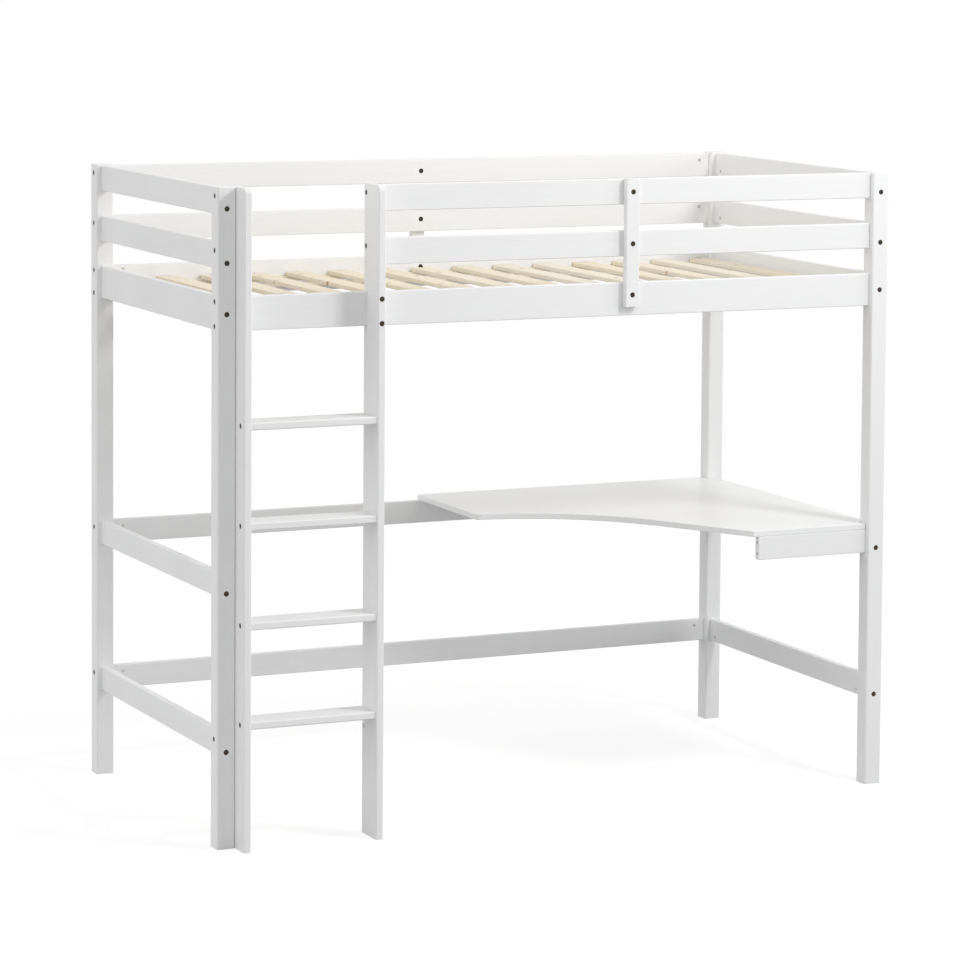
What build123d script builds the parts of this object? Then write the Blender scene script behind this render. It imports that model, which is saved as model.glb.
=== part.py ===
from build123d import *
import os
from dataclasses import dataclass

os.makedirs("parts", exist_ok=True)

# High sleeper bed with a ladder and a corner desk.
# X runs along the bed, -Y is the ladder side, +Z is up. Millimetres.
# The origin is on the floor, under the middle of the overall box.

# Driving sizes over the posts
length = 1980.0
depth = 1015.0
height = 1720.0

# Timber
post = 50.0
board = 20.0
post_round = 5.0
board_round = 2.5
guard_width = 70.0
deep_width = 90.0
leg_rail_width = 65.0

# Heights
top_drop = 3.0
guard_gap = 70.0
desk_height = 735.0
desk_thick = 16.0
low_rail_bottom = 240.0

# Slatted base
slat_drop = 35.0
slat_count = 15
slat_width = 60.0
slat_thick = 12.0
slat_round = 2.0
slat_end_gap = 3.0
slat_post_gap = 2.0
ledger_width = 20.0
ledger_height = 30.0
ledger_end_gap = 2.0
ledger_round = 1.5
strap_width = 30.0
strap_thick = 1.2
strap_inset = 160.0

# Ladder
ladder_clear = 350.0
stile_proud = 63.0
stile_corner = 15.0
stile_round = 3.0
notch_gap = 0.5
tread_count = 4
tread_depth = 90.0
tread_round = 4.0
tread_setback = 5.0
first_tread_top = 340.0
tread_rise = 259.0

# Battens
batten_width = 40.0
batten_top_drop = 3.0
batten_bottom_rise = 25.0
batten_deep_bolt_rise = 12.0

# Desk
desk_left = 2.0
desk_left_wing = 420.0
desk_wing_corner = 585.0
desk_curve_end = Vector(425.0, 285.0)
desk_curve_start = 30.0
desk_corner_round = 20.0
desk_edge_round = 1.5
desk_edge_gap = 2.0
stub_length = 338.0
stub_end_bore_depth = 30.0

# Machine screws, barrel nuts, sleeve nuts and dowels
bolt_radius = 3.0
bolt_clearance = 0.3
head_radius = 7.0
head_thick = 2.8
head_sink = 3.5
head_round = 1.0
head_clearance = 0.2
hex_radius = 2.3
hex_depth = 2.0
bolt_point = 0.75
barrel_radius = 5.0
barrel_length = 16.0
barrel_clearance = 0.1
barrel_edge = 0.5
nut_bore_clearance = 0.15
barrel_inset = 32.0
bolt_past_nut = 10.0
bore_past_bolt = 2.0
barrel_sink = 0.5
sleeve_radius = 4.5
sleeve_clearance = 0.2
sleeve_length = 16.0
sleeve_wall = 4.0
sleeve_cap_thick = 2.0
sleeve_sink = 0.2
sleeve_grip = 9.0
dowel_radius = 4.0
dowel_clearance = 0.05
dowel_length = 36.0
dowel_end_gap = 0.5
dowel_edge = 0.5

# Wood screws
screw_radius = 2.0
screw_clearance = 0.1
screw_head_radius = 4.0
screw_length = 35.0
screw_point = 5.0
screw_slot_width = 0.9
screw_slot_depth = 1.2
pilot_end_gap = 1.0
ledger_screw_gaps = (0, 3, 6)
desk_screw_grip = 25.0
desk_screw_inset = 75.0
desk_screw_access_radius = 5.0

# Places of the bolts and dowels above and below a rail's middle
narrow_x_bolts = (14.0,)
narrow_x_dowels = (-16.0,)
narrow_y_bolts = (-18.0,)
narrow_y_dowels = (16.0,)
deep_x_bolts = (-32.0, 32.0)
deep_x_dowels = (0.0,)
deep_y_bolts = (0.0,)
deep_y_dowels = (-26.0, 26.0)
tread_bolt_place = -20.0
tread_dowel_place = 20.0

# Planes of the frame, worked out from the sizes above
batten_proud = board - (post - board) / 2
overall_depth = stile_proud + depth + batten_proud
front_face = -overall_depth / 2 + stile_proud
rear_face = front_face + depth
front_line = front_face + post / 2
rear_line = rear_face - post / 2
side_line = length / 2 - post / 2
inner_x = length / 2 - post
rail_inner_front = front_line + board / 2
rail_inner_rear = rear_line - board / 2
rail_outer_front = front_line - board / 2
rail_outer_rear = rear_line + board / 2

left_stile_x = -inner_x
right_stile_x = left_stile_x + board + ladder_clear
guard_left = right_stile_x + board
stile_front = front_face - stile_proud
stile_depth = rail_inner_front - stile_front

frame_bolt_reach = post + barrel_inset + bolt_past_nut
short_bolt_reach = board + barrel_inset + bolt_past_nut
barrel_hole_depth = barrel_length + barrel_sink
dowel_hole_depth = dowel_length / 2 + dowel_end_gap

frame_bolt_seats = []
short_bolt_seats = []
batten_bolt_seats = []
sleeve_seats = []
barrel_seats = []
dowel_seats = []
screw_seats = []


@dataclass
class Level:
    """One height at which rails run round the bed."""
    name: str
    bottom: float
    width: float
    x_bolts: tuple = narrow_x_bolts
    x_dowels: tuple = narrow_x_dowels
    y_bolts: tuple = narrow_y_bolts
    y_dowels: tuple = narrow_y_dowels

    @property
    def middle(self):
        return self.bottom + self.width / 2

    @property
    def top(self):
        return self.bottom + self.width


top_bottom = height - top_drop - guard_width
mid_bottom = top_bottom - guard_gap - guard_width
deep_bottom = mid_bottom - guard_gap - deep_width
desk_rail_bottom = desk_height - desk_thick - leg_rail_width

top_level = Level("top", top_bottom, guard_width)
mid_level = Level("mid", mid_bottom, guard_width)
deep_level = Level("deep", deep_bottom, deep_width, deep_x_bolts, deep_x_dowels, deep_y_bolts, deep_y_dowels)
desk_level = Level("desk", desk_rail_bottom, leg_rail_width)
low_level = Level("low", low_rail_bottom, leg_rail_width)
upper_levels = (top_level, mid_level, deep_level)
levels = upper_levels + (desk_level, low_level)


def facing(x, y, z, normal):
    """A plane at a point of a surface, with its Z out of the wood and its X upright where it can be."""
    upright = (0, 1, 0) if normal[2] else (0, 0, 1)
    return Plane(origin=(x, y, z), x_dir=upright, z_dir=normal)


def raised(plane, offsets):
    """Copies of an end or face plane at the given heights above its origin."""
    return [Plane(plane.from_local_coords((rise, 0, 0)), plane.x_dir, plane.z_dir) for rise in offsets]


def save(piece, label):
    """Name the finished piece and write its file."""
    piece.part.label = label
    export_step(piece.part, f"parts/{label}.step")


def drill_rail_ends(ends, bolts, dowels, inward):
    """Bores for bolts, barrel nuts and dowels in the ends of the rail being made.

    Each end is a plane, the thickness of the piece that it butts against and the list
    that its bolts belong to. The barrel nuts go in through the face that looks along inward.
    """
    bolt_mouths = []
    dowel_mouths = []
    nut_mouths = []
    for end, thick, bolt_seats in ends:
        bolt_mouths += raised(end, bolts)
        dowel_mouths += raised(end, dowels)
        for mouth in raised(end, bolts):
            nut = mouth.origin - mouth.z_dir * barrel_inset + Vector(inward) * board / 2
            nut_mouths.append(facing(nut.X, nut.Y, nut.Z, inward))
            bolt_seats.append(Plane(mouth.origin + mouth.z_dir * thick, mouth.x_dir, mouth.z_dir))
    with Locations(*bolt_mouths):
        Hole(bolt_radius + bolt_clearance, depth=barrel_inset + bolt_past_nut + bore_past_bolt)
    with Locations(*dowel_mouths):
        Hole(dowel_radius + dowel_clearance, depth=dowel_hole_depth)
    with Locations(*nut_mouths):
        Hole(barrel_radius + barrel_clearance, depth=barrel_hole_depth)
    barrel_seats.extend(nut_mouths)
    dowel_seats.extend(dowel_mouths)


def drill_through_bolts(seats, thick):
    """Clearance holes with a sunk seat for each head, through the piece being made."""
    with Locations(*seats):
        CounterBoreHole(
            radius=bolt_radius + bolt_clearance,
            counter_bore_radius=head_radius + head_clearance,
            counter_bore_depth=head_sink,
            depth=thick,
        )


def drill_sleeves(seats, thick):
    """Through holes for sleeve nuts: a cap seat, the sleeve's bore and the bolt's hole."""
    with Locations(*seats):
        Hole(bolt_radius + bolt_clearance, depth=thick)
        CounterBoreHole(
            radius=sleeve_radius + sleeve_clearance,
            counter_bore_radius=head_radius + head_clearance,
            counter_bore_depth=sleeve_cap_thick + sleeve_sink,
            depth=min(thick, sleeve_length + sleeve_sink),
        )


def drill_screw_seats(seats, thick):
    """Countersunk holes for wood screws through the piece being made."""
    with Locations(*seats):
        CounterSinkHole(
            radius=screw_radius + screw_clearance,
            counter_sink_radius=screw_head_radius + screw_clearance,
            depth=thick,
            counter_sink_angle=90,
        )


def drill_pilots(seats, skipped):
    """Pilot holes for the wood screws whose first stretch lies in another piece."""
    mouths = [Plane(seat.origin - seat.z_dir * skipped, seat.x_dir, seat.z_dir) for seat in seats]
    with Locations(*mouths):
        Hole(screw_radius + screw_clearance, depth=screw_length - skipped + pilot_end_gap)


# Places shared by the ladder, the guard rails and the front post
guard_levels = (top_level, mid_level)
stile_bolt_heights = [level.middle + level.x_bolts[0] for level in guard_levels + (low_level,)]
right_stile_middle = right_stile_x + board / 2
stile_front_seats = [
    facing(right_stile_middle, stile_front, deep_level.middle + rise, (0, -1, 0)) for rise in deep_x_bolts
]
stile_nut_seats = [
    facing(right_stile_middle, rail_inner_front, deep_level.middle + rise, (0, 1, 0)) for rise in deep_x_bolts
]
post_to_stile_seats = [facing(-length / 2, front_line, z, (-1, 0, 0)) for z in stile_bolt_heights]
left_stile_nut_seats = [facing(left_stile_x + board, front_line, z, (1, 0, 0)) for z in stile_bolt_heights]

# Places shared by the battens and the rails they tie
front_batten_x = (guard_left + inner_x) / 2
rear_batten_x = 0.0
batten_heights = (top_level.middle, mid_level.middle, deep_level.middle + batten_deep_bolt_rise)
batten_bottom = deep_level.bottom + batten_bottom_rise
batten_length = height - batten_top_drop - batten_bottom
front_batten_seats = [
    facing(front_batten_x, rail_outer_front - board, z, (0, -1, 0)) for z in batten_heights
]
front_batten_nuts = [facing(front_batten_x, rail_inner_front, z, (0, 1, 0)) for z in batten_heights]
rear_batten_seats = [facing(rear_batten_x, rail_inner_rear, z, (0, -1, 0)) for z in batten_heights]
rear_batten_nuts = [facing(rear_batten_x, rail_outer_rear + board, z, (0, 1, 0)) for z in batten_heights]
batten_bolt_reach = 2 * board - sleeve_length + sleeve_grip

# Places shared by the slats, the ledgers and the deep rails
slat_top = deep_level.top - slat_drop
slat_bottom = slat_top - slat_thick
ledger_bottom = slat_bottom - ledger_height
slat_length = rail_inner_rear - rail_inner_front - 2 * slat_end_gap
slat_pitch = (2 * (inner_x - slat_post_gap) - slat_width) / (slat_count - 1)
slat_places = [(i - (slat_count - 1) / 2) * slat_pitch for i in range(slat_count)]
ledger_lines = {
    "front": rail_inner_front + ledger_width / 2,
    "rear": rail_inner_rear - ledger_width / 2,
}
gap_places = [x + slat_pitch / 2 for x in slat_places[:-1]]
ledger_screw_places = [gap_places[i] for i in ledger_screw_gaps]
ledger_screw_places += [gap_places[-1 - i] for i in ledger_screw_gaps]
slat_screw_seats = {
    side: [facing(x, line, slat_top, (0, 0, 1)) for x in slat_places] for side, line in ledger_lines.items()
}
ledger_screw_seats = {
    "front": [
        facing(x, rail_inner_front + ledger_width, ledger_bottom + ledger_height / 2, (0, 1, 0))
        for x in ledger_screw_places
    ],
    "rear": [
        facing(x, rail_inner_rear - ledger_width, ledger_bottom + ledger_height / 2, (0, -1, 0))
        for x in ledger_screw_places
    ],
}

# Places shared by the desk and the rails that carry it
desk_right = side_line + board / 2 - desk_edge_gap
desk_rear = rail_outer_rear - desk_edge_gap
desk_front = rail_outer_front
desk_underside = desk_height - desk_thick
stub_left = inner_x - stub_length
desk_screw_height = desk_level.top - desk_screw_grip
desk_screw_right = inner_x - desk_screw_inset
rear_desk_screws = [
    facing(x, rear_line, desk_screw_height, (0, 0, -1))
    for x in (desk_left + desk_screw_inset, (desk_left + inner_x) / 2, desk_screw_right)
]
right_desk_screws = [
    facing(side_line, y, desk_screw_height, (0, 0, -1))
    for y in (front_face + post + desk_screw_inset, rear_face - post - desk_screw_inset)
]
stub_desk_screws = [
    facing(x, front_line, desk_screw_height, (0, 0, -1))
    for x in (stub_left + desk_screw_inset, desk_screw_right)
]


def make_post(label, side, front):
    """A square post. side is -1 at the ladder end and 1 at the desk end."""
    x = side * side_line
    y = front_line if front else rear_line
    outward = -1 if front else 1
    x_levels = levels
    if front:
        x_levels = (deep_level,) if side < 0 else upper_levels + (desk_level,)
    bolts = []
    dowels = []
    for level in x_levels:
        bolts += raised(facing(side * length / 2, y, level.middle, (side, 0, 0)), level.x_bolts)
        dowels += raised(facing(side * inner_x, y, level.middle, (-side, 0, 0)), level.x_dowels)
    for level in levels:
        outer = facing(x, y + outward * post / 2, level.middle, (0, outward, 0))
        inner = facing(x, y - outward * post / 2, level.middle, (0, -outward, 0))
        bolts += raised(outer, level.y_bolts)
        dowels += raised(inner, level.y_dowels)
    if front and side < 0:
        bolts += post_to_stile_seats
    with BuildPart() as upright:
        with BuildSketch(Plane.XY):
            with Locations((x, y)):
                RectangleRounded(post, post, post_round)
        extrude(amount=height)
        fillet(upright.faces().sort_by(Axis.Z)[-1].edges(), board_round)
        drill_through_bolts(bolts, post)
        with Locations(*dowels):
            Hole(dowel_radius + dowel_clearance, depth=dowel_hole_depth)
    save(upright, label)


def make_x_rail(
    label, level, left, y, inward, ends, through=(), sleeves=(), pilots=(), desk_screws=(), free_end=False
):
    """A rail along X, from left to the inner face of the posts at the desk end."""
    with BuildPart() as rail:
        with BuildSketch(Plane(origin=(left, y, level.middle), x_dir=(0, 1, 0), z_dir=(1, 0, 0))):
            RectangleRounded(board, level.width, board_round)
        extrude(amount=inner_x - left)
        drill_rail_ends(ends, level.x_bolts, level.x_dowels, inward)
        if through:
            drill_through_bolts(through, board)
        if sleeves:
            drill_sleeves(sleeves, board)
        if pilots:
            drill_pilots(pilots, ledger_width)
        if desk_screws:
            drill_desk_rail(desk_screws)
        if free_end:
            drill_free_end(facing(left, y, level.middle, (-1, 0, 0)), level)
    save(rail, label)


def make_rear_rail(level):
    """A rail between the two rear posts."""
    ends = []
    for side in (-1, 1):
        ends.append((facing(side * inner_x, rear_line, level.middle, (side, 0, 0)), post, frame_bolt_seats))
    make_x_rail(
        f"rail_rear_{level.name}",
        level,
        -inner_x,
        rear_line,
        (0, -1, 0),
        ends,
        through=[rear_batten_seats[upper_levels.index(level)]] if level in upper_levels else (),
        pilots=ledger_screw_seats["rear"] if level is deep_level else (),
        desk_screws=rear_desk_screws if level is desk_level else (),
    )


def make_end_rail(level, side):
    """A rail across the bed, between the two posts of one end."""
    x = side * side_line
    ends = []
    for y, outward in ((front_face + post, -1), (rear_face - post, 1)):
        ends.append((facing(x, y, level.middle, (0, outward, 0)), post, frame_bolt_seats))
    with BuildPart() as rail:
        start = (x, front_face + post, level.middle)
        with BuildSketch(Plane(origin=start, x_dir=(1, 0, 0), z_dir=(0, 1, 0))):
            RectangleRounded(board, level.width, board_round)
        extrude(amount=depth - 2 * post)
        drill_rail_ends(ends, level.y_bolts, level.y_dowels, (-side, 0, 0))
        if level is desk_level and side > 0:
            drill_desk_rail(right_desk_screws)
    save(rail, f"rail_{'right' if side > 0 else 'left'}_{level.name}")


def drill_free_end(end, level):
    """The empty bores in the stub rail's open end."""
    with Locations(*raised(end, level.x_bolts)):
        Hole(bolt_radius + bolt_clearance, depth=stub_end_bore_depth)
    with Locations(*raised(end, level.x_dowels)):
        Hole(dowel_radius + dowel_clearance, depth=dowel_hole_depth)


def drill_desk_rail(seats):
    """Deep access holes from below and countersunk seats for the desk's screws."""
    drill_screw_seats(seats, desk_screw_grip)
    below = [facing(seat.origin.X, seat.origin.Y, desk_level.bottom, (0, 0, -1)) for seat in seats]
    with Locations(*below):
        Hole(desk_screw_access_radius, depth=leg_rail_width - desk_screw_grip)


def make_front_rails():
    """The deep rail behind both stiles, the two guard rails and the desk's stub rail."""
    inward = (0, 1, 0)
    for level, nut_seat in zip(guard_levels, front_batten_nuts):
        right_end = facing(inner_x, front_line, level.middle, (1, 0, 0))
        left_end = facing(guard_left, front_line, level.middle, (-1, 0, 0))
        ends = [(right_end, post, frame_bolt_seats), (left_end, board, short_bolt_seats)]
        label = f"guard_rail_{level.name}"
        make_x_rail(label, level, guard_left, front_line, inward, ends, sleeves=[nut_seat])
    ends = []
    for side in (-1, 1):
        end = facing(side * inner_x, front_line, deep_level.middle, (side, 0, 0))
        ends.append((end, post, frame_bolt_seats))
    make_x_rail(
        "rail_front_deep",
        deep_level,
        -inner_x,
        front_line,
        inward,
        ends,
        sleeves=stile_nut_seats + front_batten_nuts[len(guard_levels):],
        pilots=ledger_screw_seats["front"],
    )
    ends = [(facing(inner_x, front_line, desk_level.middle, (1, 0, 0)), post, frame_bolt_seats)]
    make_x_rail(
        "rail_desk_stub",
        desk_level,
        stub_left,
        front_line,
        inward,
        ends,
        desk_screws=stub_desk_screws,
        free_end=True,
    )


def make_batten(label, x, y, seats, nuts):
    """An upright batten bolted across the three upper rails of one side."""
    with BuildPart() as batten:
        with BuildSketch(Plane(origin=(x, y, batten_bottom), x_dir=(1, 0, 0), z_dir=(0, 0, 1))):
            RectangleRounded(batten_width, board, board_round)
        extrude(amount=batten_length)
        if seats:
            drill_through_bolts(seats, board)
        if nuts:
            drill_sleeves(nuts, board)
    save(batten, label)


def make_ledger(side):
    """The strip on the inner face of a deep rail that carries the slats' ends."""
    line = ledger_lines[side]
    start = -inner_x + ledger_end_gap
    with BuildPart() as ledger:
        middle = ledger_bottom + ledger_height / 2
        with BuildSketch(Plane(origin=(start, line, middle), x_dir=(0, 1, 0), z_dir=(1, 0, 0))):
            RectangleRounded(ledger_width, ledger_height, ledger_round)
        extrude(amount=2 * (inner_x - ledger_end_gap))
        drill_pilots(slat_screw_seats[side], slat_thick)
        drill_screw_seats(ledger_screw_seats[side], ledger_width)
    save(ledger, f"ledger_{side}")


def make_slat(number, x):
    """A plain slat across the bed, with one screw in each end."""
    with BuildPart() as slat:
        start = (x, rail_inner_front + slat_end_gap, slat_bottom + slat_thick / 2)
        with BuildSketch(Plane(origin=start, x_dir=(1, 0, 0), z_dir=(0, 1, 0))):
            RectangleRounded(slat_width, slat_thick, slat_round)
        extrude(amount=slat_length)
        seats = [slat_screw_seats[side][number] for side in ledger_lines]
        drill_screw_seats(seats, slat_thick)
    save(slat, f"slat_{number + 1:02d}")


def make_strap(side, y):
    """A flat webbing strap along the undersides of the slats, which keeps their pitch."""
    left = slat_places[0] - slat_width / 2
    right = slat_places[-1] + slat_width / 2
    with BuildPart() as strap:
        with BuildSketch(Plane.XY.offset(slat_bottom - strap_thick)):
            with Locations(((left + right) / 2, y)):
                Rectangle(right - left, strap_width)
        extrude(amount=strap_thick)
    save(strap, f"strap_{side}")


tread_tops = [first_tread_top + tread_rise * step for step in range(tread_count)]
tread_line = stile_front + tread_setback + tread_depth / 2
tread_bolt_line = tread_line + tread_bolt_place
tread_dowel_line = tread_line + tread_dowel_place


def make_stile(label, x, outward):
    """A ladder stile: a board on edge from the floor to the top, notched over the deep rail."""
    outer = x if outward < 0 else x + board
    inner = x + board if outward < 0 else x
    notch_depth = rail_inner_front - rail_outer_front + notch_gap
    notch_height = deep_level.width + 2 * notch_gap
    with BuildPart() as stile:
        with BuildSketch(Plane.YZ.offset(x)) as side_view:
            with Locations((stile_front, 0)):
                Rectangle(stile_depth, height, align=(Align.MIN, Align.MIN))
            fillet(side_view.vertices().group_by(Axis.Y)[-1].sort_by(Axis.X)[0], stile_corner)
            with Locations((rail_inner_front, deep_level.middle)):
                Rectangle(notch_depth, notch_height, align=(Align.MAX, Align.CENTER), mode=Mode.SUBTRACT)
        extrude(amount=board)
        front_edges = stile.edges().filter_by(Axis.Z).group_by(Axis.Y)[0]
        fillet(front_edges, stile_round)
        for top in tread_tops:
            middle = top - board / 2
            bolt_seat = facing(outer, tread_bolt_line, middle, (outward, 0, 0))
            drill_through_bolts([bolt_seat], board)
            short_bolt_seats.append(bolt_seat)
            with Locations(facing(inner, tread_dowel_line, middle, (-outward, 0, 0))):
                Hole(dowel_radius + dowel_clearance, depth=dowel_hole_depth)
        if outward < 0:
            drill_sleeves(left_stile_nut_seats, board)
        else:
            guard_seats = [facing(x, front_line, z, (-1, 0, 0)) for z in stile_bolt_heights]
            drill_through_bolts(guard_seats[:len(guard_levels)], board)
            drill_sleeves(guard_seats[len(guard_levels):], board)
            for level in guard_levels:
                dowel_faces = raised(facing(x + board, front_line, level.middle, (1, 0, 0)), level.x_dowels)
                with Locations(*dowel_faces):
                    Hole(dowel_radius + dowel_clearance, depth=dowel_hole_depth)
            drill_through_bolts(stile_front_seats, stile_depth)
    save(stile, label)


def make_tread(number, top):
    """A flat tread between the stiles, bolted and dowelled at both ends."""
    left = left_stile_x + board
    middle = top - board / 2
    with BuildPart() as tread:
        with BuildSketch(Plane(origin=(left, tread_line, middle), x_dir=(0, 1, 0), z_dir=(1, 0, 0))):
            RectangleRounded(tread_depth, board, tread_round)
        extrude(amount=ladder_clear)
        for x, outward in ((left, -1), (left + ladder_clear, 1)):
            nut_seat = facing(x - outward * barrel_inset, tread_bolt_line, top - board, (0, 0, -1))
            barrel_seats.append(nut_seat)
            dowel_seat = facing(x, tread_dowel_line, middle, (outward, 0, 0))
            dowel_seats.append(dowel_seat)
            with Locations(facing(x, tread_bolt_line, middle, (outward, 0, 0))):
                Hole(bolt_radius + bolt_clearance, depth=barrel_inset + bolt_past_nut + bore_past_bolt)
            with Locations(nut_seat):
                Hole(barrel_radius + barrel_clearance, depth=barrel_hole_depth)
            with Locations(dowel_seat):
                Hole(dowel_radius + dowel_clearance, depth=dowel_hole_depth)
    save(tread, f"tread_{number}")


def make_desk():
    """The corner desk top: a deep left part, a curved cut-in front and a right wing.

    It laps over the rear, right and stub rails and is notched round the two posts.
    """
    wing_corner = (desk_wing_corner, desk_front)
    curve_low = (desk_curve_end.X, desk_front + desk_curve_end.Y)
    left_front = desk_rear - desk_left_wing
    curve_high = (desk_left + desk_curve_start, left_front)
    with BuildPart() as desk:
        with BuildSketch(Plane.XY.offset(desk_underside)) as outline:
            with BuildLine():
                Polyline(
                    curve_high,
                    (desk_left, left_front),
                    (desk_left, desk_rear),
                    (desk_right, desk_rear),
                    (desk_right, desk_front),
                    wing_corner,
                    curve_low,
                )
                TangentArc(
                    curve_low,
                    curve_high,
                    tangent=Vector(*curve_low) - Vector(*wing_corner),
                )
            make_face()
            notch = post + 2 * desk_edge_gap
            with Locations((side_line, rear_line), (side_line, front_line)):
                Rectangle(notch, notch, mode=Mode.SUBTRACT)
            left_corner = Vertex(desk_left, left_front, desk_underside)
            fillet(outline.vertices().sort_by_distance(left_corner)[0], desk_corner_round)
        extrude(amount=desk_thick)
        rim = desk.faces().sort_by(Axis.Z)
        fillet(rim[-1].edges() + rim[0].edges(), desk_edge_round)
        drill_pilots(rear_desk_screws + right_desk_screws + stub_desk_screws, desk_screw_grip)
    save(desk, "desk_top")


def make_bolts(label, seats, reach):
    """Round-headed machine screws with a hexagon socket, one at each seat."""
    with BuildPart() as bolt:
        with BuildSketch(Plane.XY.offset(-head_sink)):
            Circle(head_radius)
        extrude(amount=head_thick)
        fillet(bolt.edges().group_by(Axis.Z)[-1], head_round)
        with BuildSketch(Plane.XY.offset(-head_sink)):
            Circle(bolt_radius)
        extrude(amount=head_sink - reach)
        chamfer(bolt.faces().sort_by(Axis.Z)[0].edges(), bolt_point)
        with BuildSketch(Plane.XY.offset(head_thick - head_sink)):
            RegularPolygon(hex_radius, 6)
        extrude(amount=-hex_depth, mode=Mode.SUBTRACT)
    with BuildPart() as group:
        with Locations(*seats):
            add(bolt.part)
    save(group, label)


def make_barrel_nuts():
    """Cross dowels: steel cylinders with a bore across them for the bolt."""
    with BuildPart() as nut:
        with BuildSketch(Plane.XY.offset(-barrel_sink)):
            Circle(barrel_radius)
        extrude(amount=-barrel_length)
        chamfer(nut.faces().sort_by(Axis.Z)[-1].edges(), barrel_edge)
        with Locations(facing(0, -barrel_radius, -board / 2, (0, -1, 0))):
            Hole(bolt_radius + nut_bore_clearance, depth=2 * barrel_radius)
    with BuildPart() as group:
        with Locations(*barrel_seats):
            add(nut.part)
    save(group, "barrel_nuts")


def make_sleeve_nuts():
    """Capped sleeves that take a bolt's end, flush in the far face."""
    with BuildPart() as sleeve:
        with BuildSketch(Plane.XY.offset(-sleeve_sink)):
            Circle(head_radius)
        extrude(amount=-sleeve_cap_thick)
        with BuildSketch(Plane.XY.offset(-sleeve_sink)):
            Circle(sleeve_radius)
        extrude(amount=-sleeve_length)
        with Locations(Plane.XY.offset(-sleeve_sink - sleeve_length).rotated((180, 0, 0))):
            Hole(bolt_radius + nut_bore_clearance, depth=sleeve_length - sleeve_wall)
    with BuildPart() as group:
        with Locations(*sleeve_seats):
            add(sleeve.part)
    save(group, "sleeve_nuts")


def make_dowels():
    """Beech dowels, half in the rail and half in the post or stile."""
    with BuildPart() as dowel:
        with BuildSketch(Plane.XY.offset(-dowel_length / 2)):
            Circle(dowel_radius)
        extrude(amount=dowel_length)
        chamfer(dowel.edges(), dowel_edge)
    with BuildPart() as group:
        with Locations(*dowel_seats):
            add(dowel.part)
    save(group, "dowels")


def make_wood_screws():
    """Countersunk wood screws, their threads left plain, with a cross recess."""
    head_depth = screw_head_radius - screw_radius
    with BuildPart() as screw:
        with BuildSketch(Plane.XZ):
            with BuildLine():
                Polyline(
                    (0, 0),
                    (screw_head_radius, 0),
                    (screw_radius, -head_depth),
                    (screw_radius, screw_point - screw_length),
                    (0, -screw_length),
                    close=True,
                )
            make_face()
        revolve(axis=Axis.Z)
        with BuildSketch(Plane.XY):
            Rectangle(screw_head_radius, screw_slot_width)
            Rectangle(screw_slot_width, screw_head_radius)
        extrude(amount=-screw_slot_depth, mode=Mode.SUBTRACT)
    with BuildPart() as group:
        with Locations(*screw_seats):
            add(screw.part)
    save(group, "wood_screws")


# Posts
make_post("post_front_left", -1, True)
make_post("post_front_right", 1, True)
make_post("post_rear_left", -1, False)
make_post("post_rear_right", 1, False)

# Rails
for level in levels:
    make_rear_rail(level)
    make_end_rail(level, -1)
    make_end_rail(level, 1)
make_front_rails()

# Battens
make_batten("batten_front", front_batten_x, rail_outer_front - board / 2, front_batten_seats, [])
make_batten("batten_rear", rear_batten_x, rail_outer_rear + board / 2, [], rear_batten_nuts)
batten_bolt_seats.extend(front_batten_seats + rear_batten_seats)
sleeve_seats.extend(front_batten_nuts + rear_batten_nuts)

# Slatted base
for side in ledger_lines:
    make_ledger(side)
    screw_seats.extend(slat_screw_seats[side] + ledger_screw_seats[side])
for number, x in enumerate(slat_places):
    make_slat(number, x)
make_strap("front", rail_inner_front + strap_inset)
make_strap("rear", rail_inner_rear - strap_inset)

# Ladder
make_stile("stile_left", left_stile_x, -1)
make_stile("stile_right", right_stile_x, 1)
for number, top in enumerate(tread_tops, start=1):
    make_tread(number, top)
frame_bolt_seats.extend(stile_front_seats)
short_bolt_seats.extend(post_to_stile_seats)
sleeve_seats.extend(stile_nut_seats + left_stile_nut_seats)

# Desk
make_desk()
screw_seats.extend(rear_desk_screws + right_desk_screws + stub_desk_screws)

# Fasteners
make_bolts("frame_bolts", frame_bolt_seats, frame_bolt_reach)
make_bolts("short_bolts", short_bolt_seats, short_bolt_reach)
make_bolts("batten_bolts", batten_bolt_seats, batten_bolt_reach)
make_barrel_nuts()
make_sleeve_nuts()
make_dowels()
make_wood_screws()
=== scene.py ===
import math

import bpy
from mathutils import Matrix, Vector

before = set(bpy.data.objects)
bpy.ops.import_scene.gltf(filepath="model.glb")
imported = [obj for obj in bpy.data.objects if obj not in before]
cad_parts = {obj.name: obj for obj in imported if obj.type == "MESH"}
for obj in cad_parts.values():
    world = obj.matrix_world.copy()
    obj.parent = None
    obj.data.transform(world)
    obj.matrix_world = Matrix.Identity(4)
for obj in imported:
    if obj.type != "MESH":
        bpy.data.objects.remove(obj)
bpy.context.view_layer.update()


# Camera: a long lens from the left front, a little above the top of the bed. The lens shift keeps
# the uprights nearly parallel, with the horizon above the picture.
sensor = 36.0
image_width = 960
focal_pixels = 3838.7
principal_x, principal_y = 551.2, 217.2
camera_data = bpy.data.cameras.new("camera")
camera_data.sensor_width = sensor
camera_data.lens = focal_pixels * sensor / image_width
camera_data.shift_x = (image_width / 2 - principal_x) / image_width
camera_data.shift_y = (principal_y - image_width / 2) / image_width
camera_data.clip_start = 0.5
camera_data.clip_end = 1000.0
camera = bpy.data.objects.new("camera", camera_data)
camera_yaw, camera_tilt, camera_roll = math.radians(25.384), math.radians(4.363), math.radians(0.473)
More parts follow.
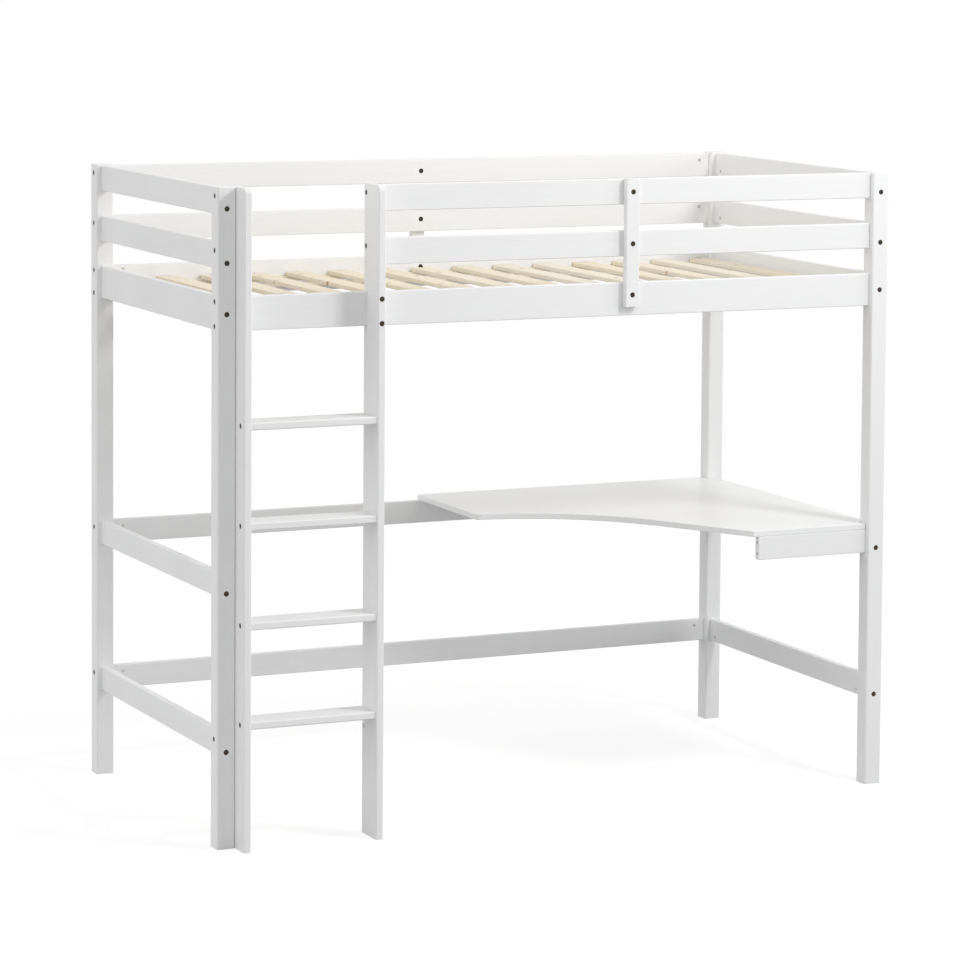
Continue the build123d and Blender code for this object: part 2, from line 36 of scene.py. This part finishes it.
camera.matrix_world = (
    Matrix.Translation((-4.4142, -9.6822, 2.3969))
    @ Matrix.Rotation(-camera_yaw, 4, "Z")
    @ Matrix.Rotation(math.pi / 2 - camera_tilt, 4, "X")
    @ Matrix.Rotation(camera_roll, 4, "Z")
)
bpy.context.collection.objects.link(camera)
bpy.context.scene.camera = camera
bpy.context.scene.view_settings.view_transform = "Standard"


# Studio: an even white room, a small key lamp high at the right front, which throws the shadows to
# the left of the stiles and weakens towards the floor, and weak fills from left and low right.
def add_node(tree, kind, inputs=None, **settings):
    """A new node with its settings, and with each input joined to a socket or set to a value."""
    node = tree.nodes.new(kind)
    for name, value in settings.items():
        setattr(node, name, value)
    for key, value in (inputs or {}).items():
        if isinstance(value, bpy.types.NodeSocket):
            tree.links.new(value, node.inputs[key])
        else:
            node.inputs[key].default_value = value
    return node


def backdrop_rays(tree):
    """1 for rays that show the white background: from the camera, in a reflection or through glass."""
    path = add_node(tree, "ShaderNodeLightPath").outputs
    seen = add_node(
        tree, "ShaderNodeMath", {0: path["Is Camera Ray"], 1: path["Is Glossy Ray"]}, operation="MAXIMUM"
    )
    return add_node(
        tree, "ShaderNodeMath", {0: seen.outputs[0], 1: path["Is Transmission Ray"]}, operation="MAXIMUM"
    ).outputs[0]


white = (1, 1, 1, 1)
backdrop_white = 1.0
room_light = 0.64
world = bpy.data.worlds.new("studio")
world.use_nodes = True
world_tree = world.node_tree
world_tree.nodes.clear()
white_room = add_node(world_tree, "ShaderNodeBackground", {"Color": white, "Strength": backdrop_white})
lit_room = add_node(world_tree, "ShaderNodeBackground", {"Color": white, "Strength": room_light})
room = add_node(
    world_tree,
    "ShaderNodeMixShader",
    {0: backdrop_rays(world_tree), 1: lit_room.outputs[0], 2: white_room.outputs[0]},
)
add_node(world_tree, "ShaderNodeOutputWorld", {"Surface": room.outputs[0]})
bpy.context.scene.world = world

key_data = bpy.data.lights.new("key_lamp", "AREA")
key_data.shape = "SQUARE"
key_data.size = 0.75
key_data.energy = 57.0
key_lamp = bpy.data.objects.new("key_lamp", key_data)
key_place = Vector((1.7, -2.7, 3.6))
key_target = Vector((-0.9, 0.0, 1.7))
key_turn = (key_place - key_target).to_track_quat("Z", "Y").to_matrix().to_4x4()
key_lamp.matrix_world = Matrix.Translation(key_place) @ key_turn
key_lamp.visible_camera = False
bpy.context.collection.objects.link(key_lamp)

# Name, strength, softness, direction round from the front towards the right, and height.
fills = (("left_fill", 0.74, 60, -86, 20), ("low_right_fill", 0.70, 30, 62, 11))
for fill_name, fill_strength, fill_softness, fill_azimuth, fill_height in fills:
    fill_data = bpy.data.lights.new(fill_name, "SUN")
    fill_data.energy = fill_strength
    fill_data.angle = math.radians(fill_softness)
    fill_lamp = bpy.data.objects.new(fill_name, fill_data)
    fill_turn = Matrix.Rotation(math.radians(90 - fill_height), 4, "X")
    fill_lamp.matrix_world = Matrix.Rotation(math.radians(fill_azimuth), 4, "Z") @ fill_turn
    bpy.context.collection.objects.link(fill_lamp)

floor_half = 200.0
floor_grey = (0.45, 0.45, 0.45, 1)
floor_brightness = 0.66
floor_corners = ((-1, -1), (1, -1), (1, 1), (-1, 1))
floor_mesh = bpy.data.meshes.new("floor")
floor_mesh.from_pydata(
    [(x * floor_half, y * floor_half, 0.0) for x, y in floor_corners], [], [(0, 1, 2, 3)]
)
floor = bpy.data.objects.new("floor", floor_mesh)
bpy.context.collection.objects.link(floor)
floor_paint = bpy.data.materials.new("floor_white")
floor_paint.use_nodes = True
floor_tree = floor_paint.node_tree
floor_tree.nodes.clear()
floor_matt = add_node(floor_tree, "ShaderNodeBsdfDiffuse", {"Color": floor_grey})
floor_glow = add_node(floor_tree, "ShaderNodeEmission", {"Color": white, "Strength": floor_brightness})
floor_white = add_node(
    floor_tree, "ShaderNodeAddShader", {0: floor_matt.outputs[0], 1: floor_glow.outputs[0]}
)
floor_mix = add_node(
    floor_tree,
    "ShaderNodeMixShader",
    {0: backdrop_rays(floor_tree), 1: floor_matt.outputs[0], 2: floor_white.outputs[0]},
)
add_node(floor_tree, "ShaderNodeOutputMaterial", {"Surface": floor_mix.outputs[0]})
floor_mesh.materials.append(floor_paint)


# Painted frame: posts, rails, guard rails, battens, stiles and treads are planed softwood under
# white satin paint. The grain runs along each board and only just shows through the paint, and
# the paint is thinner and a touch warmer on the rounded edges.
def effect(name, inputs, outputs):
    """An empty shader node group with its named inputs and outputs, and the two ends to join."""
    group = bpy.data.node_groups.new(name, "ShaderNodeTree")
    for socket, kind, value in inputs:
        made = group.interface.new_socket(socket, in_out="INPUT", socket_type=kind)
        made.default_value = value
    for socket, kind in outputs:
        group.interface.new_socket(socket, in_out="OUTPUT", socket_type=kind)
    return group, group.nodes.new("NodeGroupInput").outputs, group.nodes.new("NodeGroupOutput").inputs


def place(tree, group, **inputs):
    """The group's outputs, with the group placed in a material and its inputs set."""
    node = tree.nodes.new("ShaderNodeGroup")
    node.node_tree = group
    for key, value in inputs.items():
        socket = node.inputs[key.replace("_", " ").capitalize()]
        if isinstance(value, bpy.types.NodeSocket):
            tree.links.new(value, socket)
        else:
            socket.default_value = value
    return node.outputs


def shaped(tree, value, low, high, from_low=0.0, from_high=1.0):
    """The value spread from one range to another, with its ends held."""
    spread = add_node(
        tree,
        "ShaderNodeMapRange",
        {"Value": value, "From Min": from_low, "From Max": from_high, "To Min": low, "To Max": high},
    )
    return spread.outputs[0]


def blended(tree, factor, first, second, blend_type="MIX"):
    """A colour mix of two colours, or of sockets that carry them."""
    mix = add_node(tree, "ShaderNodeMix", data_type="RGBA", blend_type=blend_type)
    for socket, value in ((mix.inputs[0], factor), (mix.inputs[6], first), (mix.inputs[7], second)):
        if isinstance(value, bpy.types.NodeSocket):
            tree.links.new(value, socket)
        else:
            socket.default_value = value
    return mix.outputs[2]


# Long grain: fine streaks and wider bands, both drawn out along one axis of the coordinates.
long_grain, ends_in, ends_out = effect(
    "long_grain",
    [("Coordinates", "NodeSocketVector", (0, 0, 0)), ("Stretch", "NodeSocketVector", (1, 1, 1)),
     ("Streaks", "NodeSocketFloat", 300.0), ("Bands", "NodeSocketFloat", 40.0)],
    [("Streak", "NodeSocketFloat"), ("Band", "NodeSocketFloat")],
)
drawn_out = add_node(
    long_grain,
    "ShaderNodeVectorMath",
    {0: ends_in["Coordinates"], 1: ends_in["Stretch"]},
    operation="MULTIPLY",
).outputs[0]
streak_noise = add_node(
    long_grain,
    "ShaderNodeTexNoise",
    {"Vector": drawn_out, "Scale": ends_in["Streaks"], "Detail": 4.0, "Roughness": 0.6},
)
band_noise = add_node(
    long_grain,
    "ShaderNodeTexNoise",
    {"Vector": drawn_out, "Scale": ends_in["Bands"], "Detail": 2.0, "Roughness": 0.5},
)
long_grain.links.new(shaped(long_grain, streak_noise.outputs[0], 0.0, 1.0, 0.3, 0.7), ends_out["Streak"])
long_grain.links.new(shaped(long_grain, band_noise.outputs[0], 0.0, 1.0, 0.3, 0.7), ends_out["Band"])

# Rounded edges: 1 where the surface faces between two axes, 0 on the flats.
rounded_edges, _, edge_out = effect("rounded_edges", [], [("Edge", "NodeSocketFloat")])
facing = add_node(rounded_edges, "ShaderNodeTexCoord").outputs["Normal"]
facing = add_node(rounded_edges, "ShaderNodeVectorMath", {0: facing}, operation="ABSOLUTE").outputs[0]
facing = add_node(rounded_edges, "ShaderNodeSeparateXYZ", {0: facing}).outputs
squarest = facing[0]
for side_facing in (facing[1], facing[2]):
    squarest = add_node(
        rounded_edges, "ShaderNodeMath", {0: squarest, 1: side_facing}, operation="MAXIMUM"
    ).outputs[0]
rounded_edges.links.new(shaped(rounded_edges, squarest, 1.0, 0.0, 0.72, 0.99), edge_out["Edge"])

# Handling: slow, cloudy unevenness from the roller, the cloth and the hand.
handling, cloud_in, cloud_out = effect(
    "handling",
    [("Coordinates", "NodeSocketVector", (0, 0, 0)), ("Size", "NodeSocketFloat", 6.0)],
    [("Cloud", "NodeSocketFloat")],
)
cloud = add_node(
    handling,
    "ShaderNodeTexNoise",
    {"Vector": cloud_in["Coordinates"], "Scale": cloud_in["Size"], "Detail": 3.0},
)
handling.links.new(shaped(handling, cloud.outputs[0], 0.0, 1.0, 0.3, 0.7), cloud_out["Cloud"])


def new_material(name):
    """An empty node material, with its tree and the object coordinates."""
    material = bpy.data.materials.new(name)
    material.use_nodes = True
    tree = material.node_tree
    tree.nodes.clear()
    return material, tree, add_node(tree, "ShaderNodeTexCoord").outputs["Object"]


def close_material(tree, inputs, height, strength, distance):
    """The surface of a material, with a bump from a height."""
    bump = add_node(
        tree, "ShaderNodeBump", {"Strength": strength, "Distance": distance, "Height": height}
    )
    surface = add_node(tree, "ShaderNodeBsdfPrincipled", {**inputs, "Normal": bump.outputs[0]})
    add_node(tree, "ShaderNodeOutputMaterial", {"Surface": surface.outputs[0]})


def dress(names, material):
    """Gives each named CAD node one material all over."""
    for name in names:
        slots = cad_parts[name].data.materials
        slots.clear()
        slots.append(material)


def satin_paint(name, stretch):
    """White satin paint on a board whose grain runs along the axis with the small stretch."""
    material, tree, here = new_material(name)
    grain = place(tree, long_grain, coordinates=here, stretch=stretch, streaks=420.0, bands=60.0)
    cloud = place(tree, handling, coordinates=here, size=5.0)["Cloud"]
    edge = place(tree, rounded_edges)["Edge"]
    colour = blended(tree, grain["Streak"], (0.872, 0.874, 0.878, 1), (0.898, 0.900, 0.906, 1))
    colour = blended(tree, shaped(tree, grain["Band"], 0.0, 0.10), colour, (0.82, 0.818, 0.81, 1))
    colour = blended(tree, shaped(tree, cloud, 0.0, 0.08), colour, (0.855, 0.862, 0.875, 1))
    colour = blended(tree, shaped(tree, edge, 0.0, 0.22), colour, (0.87, 0.85, 0.80, 1))
    gloss = shaped(tree, cloud, 0.36, 0.50)
    peel = add_node(tree, "ShaderNodeTexNoise", {"Vector": here, "Scale": 700.0, "Detail": 2.0})
    relief = add_node(
        tree,
        "ShaderNodeMath",
        {0: grain["Streak"], 1: 0.7, 2: peel.outputs[0]},
        operation="MULTIPLY_ADD",
    )
    close_material(tree, {"Base Color": colour, "Roughness": gloss}, relief.outputs[0], 0.25, 0.0002)
    return material


paint_along_x = satin_paint("white_paint_along_x", (0.04, 1.0, 1.0))
paint_along_y = satin_paint("white_paint_along_y", (1.0, 0.04, 1.0))
paint_along_z = satin_paint("white_paint_along_z", (1.0, 1.0, 0.04))
level_names = ("top", "mid", "deep", "desk", "low")
dress([f"rail_rear_{level}" for level in level_names], paint_along_x)
dress(["rail_front_deep", "guard_rail_top", "guard_rail_mid", "rail_desk_stub"], paint_along_x)
dress([f"tread_{number}" for number in range(1, 5)], paint_along_x)
dress([f"rail_{side}_{level}" for side in ("left", "right") for level in level_names], paint_along_y)
dress([f"post_{row}_{side}" for row in ("front", "rear") for side in ("left", "right")], paint_along_z)
dress(["batten_front", "batten_rear", "stile_left", "stile_right"], paint_along_z)


# Slats and ledgers: planed pine, left bare. The slats are flat sawn, each from another board, with
# long rings, a few small knots and a little difference in tone from one to the next.
slat_pitch = 0.12971
slide_range = 9.0


def bare_pine(name, across, along, shift):
    """Bare pine. across and along are the axes over the board's width and down its length."""
    material, tree, here = new_material(name)
    split = add_node(tree, "ShaderNodeSeparateXYZ", {0: here}).outputs
    wide, lengthwise = split[across], split[along]
    board = add_node(
        tree, "ShaderNodeMath", {0: split["X"], 1: 1 / slat_pitch}, operation="MULTIPLY"
    ).outputs[0]
    board = add_node(tree, "ShaderNodeMath", {0: board}, operation="ROUND").outputs[0]
    board_tone = add_node(tree, "ShaderNodeTexWhiteNoise", {"W": board}, noise_dimensions="1D").outputs
    slide = add_node(
        tree,
        "ShaderNodeMath",
        {0: board_tone["Value"], 1: slide_range, 2: shift},
        operation="MULTIPLY_ADD",
    )
    moved = add_node(
        tree, "ShaderNodeMath", {0: lengthwise, 1: slide.outputs[0]}, operation="ADD"
    ).outputs[0]
    flat = add_node(tree, "ShaderNodeCombineXYZ", {"X": wide, "Y": moved, "Z": split["Z"]}).outputs[0]
    knots = add_node(
        tree, "ShaderNodeTexVoronoi", {"Vector": flat, "Scale": 6.5}, voronoi_dimensions="2D"
    ).outputs["Distance"]
    swirl = shaped(tree, knots, 0.010, 0.0, 0.0, 0.16)
    bent = add_node(tree, "ShaderNodeMath", {0: wide, 1: swirl}, operation="ADD").outputs[0]
    slow = add_node(tree, "ShaderNodeMath", {0: moved, 1: 0.06}, operation="MULTIPLY").outputs[0]
    ring_line = add_node(
        tree, "ShaderNodeCombineXYZ", {"X": bent, "Y": slow, "Z": split["Z"]}
    ).outputs[0]
    rings = add_node(
        tree,
        "ShaderNodeTexWave",
        {"Vector": ring_line, "Scale": 34.0, "Distortion": 5.0, "Detail": 2.0, "Detail Scale": 0.8},
    ).outputs["Fac"]
    grain = place(tree, long_grain, coordinates=ring_line, streaks=700.0, bands=30.0)
    edge = place(tree, rounded_edges)["Edge"]
    tone = blended(tree, board_tone["Value"], (0.94, 0.84, 0.65, 1), (0.96, 0.895, 0.765, 1))
    late = shaped(tree, rings, 0.0, 0.42, 0.45, 1.0)
    tone = blended(tree, late, tone, (0.88, 0.73, 0.50, 1))
    tone = blended(tree, shaped(tree, grain["Streak"], 0.0, 0.22), tone, (0.80, 0.67, 0.49, 1))
    halo = shaped(tree, knots, 0.75, 0.0, 0.02, 0.085)
    tone = blended(tree, halo, tone, (0.55, 0.34, 0.16, 1))
    heart = shaped(tree, knots, 0.85, 0.0, 0.010, 0.034)
    tone = blended(tree, heart, tone, (0.22, 0.11, 0.05, 1))
    tone = blended(tree, shaped(tree, edge, 0.0, 0.25), tone, (0.88, 0.80, 0.66, 1))
    gloss = shaped(tree, rings, 0.62, 0.50)
    close_material(tree, {"Base Color": tone, "Roughness": gloss}, grain["Streak"], 0.30, 0.0003)
    return material


slat_names = [f"slat_{number:02d}" for number in range(1, 16)]
dress(slat_names, bare_pine("bare_pine_slats", "X", "Y", 0.0))
dress(["ledger_front", "ledger_rear"], bare_pine("bare_pine_ledgers", "Y", "X", 4.0))


# Desk top: one thick board, cut to its curve, in smooth white satin, with painted shade on its edges.
desk_board, desk_tree, desk_here = new_material("white_board")
desk_cloud = place(desk_tree, handling, coordinates=desk_here, size=3.0)["Cloud"]
desk_edge_shade = place(desk_tree, rounded_edges)["Edge"]
desk_speck = add_node(
    desk_tree, "ShaderNodeTexNoise", {"Vector": desk_here, "Scale": 1100.0, "Detail": 2.0}
).outputs[0]
desk_tone = blended(desk_tree, desk_cloud, (0.89, 0.895, 0.90, 1), (0.91, 0.914, 0.918, 1))
# Painted shade: the rounded and curved edges turn darker grey, for the thin shadow line at the front
# edge.
desk_tone = blended(desk_tree, shaped(desk_tree, desk_edge_shade, 0.0, 0.3), desk_tone, (0.80, 0.80, 0.79, 1))
close_material(
    desk_tree,
    {"Base Color": desk_tone, "Roughness": shaped(desk_tree, desk_cloud, 0.28, 0.38)},
    desk_speck,
    0.12,
    0.0001,
)
dress(["desk_top"], desk_board)


# Straps: flat white webbing under the slats, woven in a plain weave with ribs across its width.
webbing, web_tree, web_here = new_material("webbing")
web_ribs, web_yarns = (
    add_node(
        web_tree, "ShaderNodeTexWave", {"Vector": web_here, "Scale": scale}, bands_direction=direction
    ).outputs["Fac"]
    for scale, direction in ((150.0, "X"), (200.0, "Y"))
)
web_weave = add_node(
    web_tree, "ShaderNodeMath", {0: web_ribs, 1: web_yarns}, operation="MULTIPLY"
).outputs[0]
web_tone = blended(web_tree, web_weave, (0.66, 0.66, 0.64, 1), (0.84, 0.84, 0.82, 1))
web_surface = {"Base Color": web_tone, "Roughness": 0.85, "Sheen Weight": 0.3}
close_material(web_tree, web_surface, web_weave, 0.5, 0.0004)
dress(["strap_front", "strap_rear"], webbing)


# Machine screws: round heads with a hexagon socket, bronzed almost black, brighter where the
# edges are rubbed.
def plated(name, colour, rubbed, rough):
    """Plated steel, cloudy in its gloss, with its edges rubbed to another tone."""
    material, tree, here = new_material(name)
    cloud = place(tree, handling, coordinates=here, size=260.0)["Cloud"]
    edge = place(tree, rounded_edges)["Edge"]
    fine = add_node(
        tree, "ShaderNodeTexNoise", {"Vector": here, "Scale": 2500.0, "Detail": 2.0}
    ).outputs[0]
    tone = blended(tree, shaped(tree, edge, 0.0, 0.45), colour, rubbed)
    tone = blended(tree, shaped(tree, cloud, 0.0, 0.35), tone, rubbed)
    gloss = shaped(tree, cloud, rough - 0.06, rough + 0.10)
    close_material(tree, {"Base Color": tone, "Metallic": 1.0, "Roughness": gloss}, fine, 0.2, 0.00005)
    return material


bronzed = plated("bronzed_steel", (0.045, 0.038, 0.032, 1), (0.15, 0.12, 0.09, 1), 0.36)
dress(["frame_bolts", "short_bolts", "batten_bolts"], bronzed)


# Barrel nuts, sleeve nuts and wood screws: dull zinc plate.
zinc = plated("zinc_steel", (0.50, 0.50, 0.49, 1), (0.72, 0.72, 0.70, 1), 0.38)
dress(["barrel_nuts", "sleeve_nuts", "wood_screws"], zinc)


# Dowels: turned beech, hidden in the joints.
beech, beech_tree, beech_here = new_material("beech")
beech_grain = place(
    beech_tree, long_grain, coordinates=beech_here, stretch=(0.2, 1.0, 1.0), streaks=900.0, bands=120.0
)
beech_tone = blended(beech_tree, beech_grain["Streak"], (0.62, 0.45, 0.30, 1), (0.74, 0.58, 0.42, 1))
beech_surface = {"Base Color": beech_tone, "Roughness": 0.6}
close_material(beech_tree, beech_surface, beech_grain["Band"], 0.2, 0.0002)
dress(["dowels"], beech)
